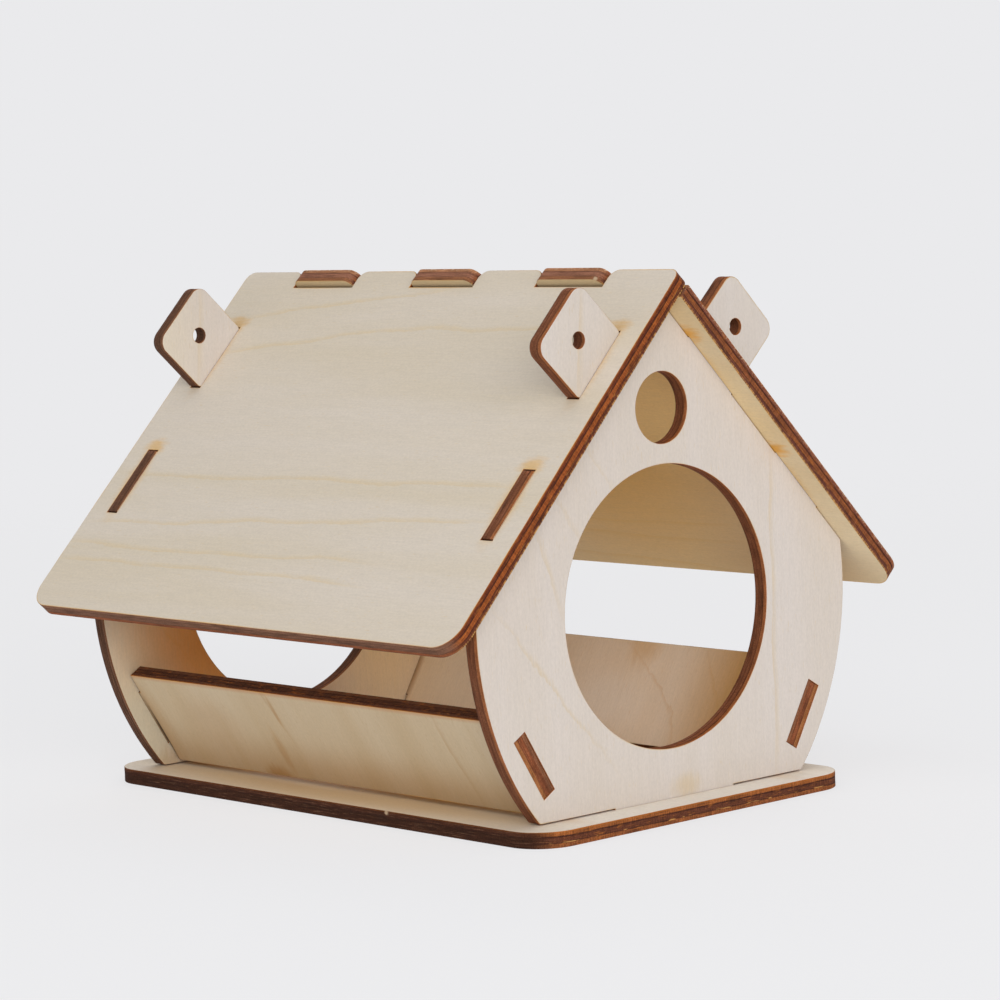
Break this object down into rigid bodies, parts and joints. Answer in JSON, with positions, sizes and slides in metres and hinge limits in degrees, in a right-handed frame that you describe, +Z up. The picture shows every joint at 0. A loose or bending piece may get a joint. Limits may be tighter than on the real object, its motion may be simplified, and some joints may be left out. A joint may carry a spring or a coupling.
{
  "type": "bird feeder",
  "caption": "House-shaped bird feeder of slotted plywood sheets: pitched roof with finger-jointed ridge, round entries in the gables, low leaning sides and lugs with holes for hanging.",
  "frame": {"origin": "middle of the base's underside", "axes": "+Z up, +Y along the ridge towards the rear gable, +X to the right of someone facing the front gable"},
  "size_m": [0.1601, 0.1728, 0.1367],
  "materials": {
    "birch_plywood": "bare sanded birch veneer with laser-browned edges"
  },
  "bodies": {
    "house": {"base_plate": "birch_plywood", "front_gable": "birch_plywood", "rear_gable": "birch_plywood", "left_side_panel": "birch_plywood", "right_side_panel": "birch_plywood"},
    "left_roof": {"left_roof_panel": "birch_plywood"},
    "right_roof": {"right_roof_panel": "birch_plywood"}
  },
  "joints": [
    {"name": "left_roof_lift", "type": "slide", "parent": "house", "child": "left_roof", "axis": [-0.7218, 0, 0.6921], "range_m": [0, 0.03]},
    {"name": "right_roof_lift", "type": "slide", "parent": "house", "child": "right_roof", "axis": [0.7218, 0, 0.6921], "range_m": [0, 0.03]}
  ]
}
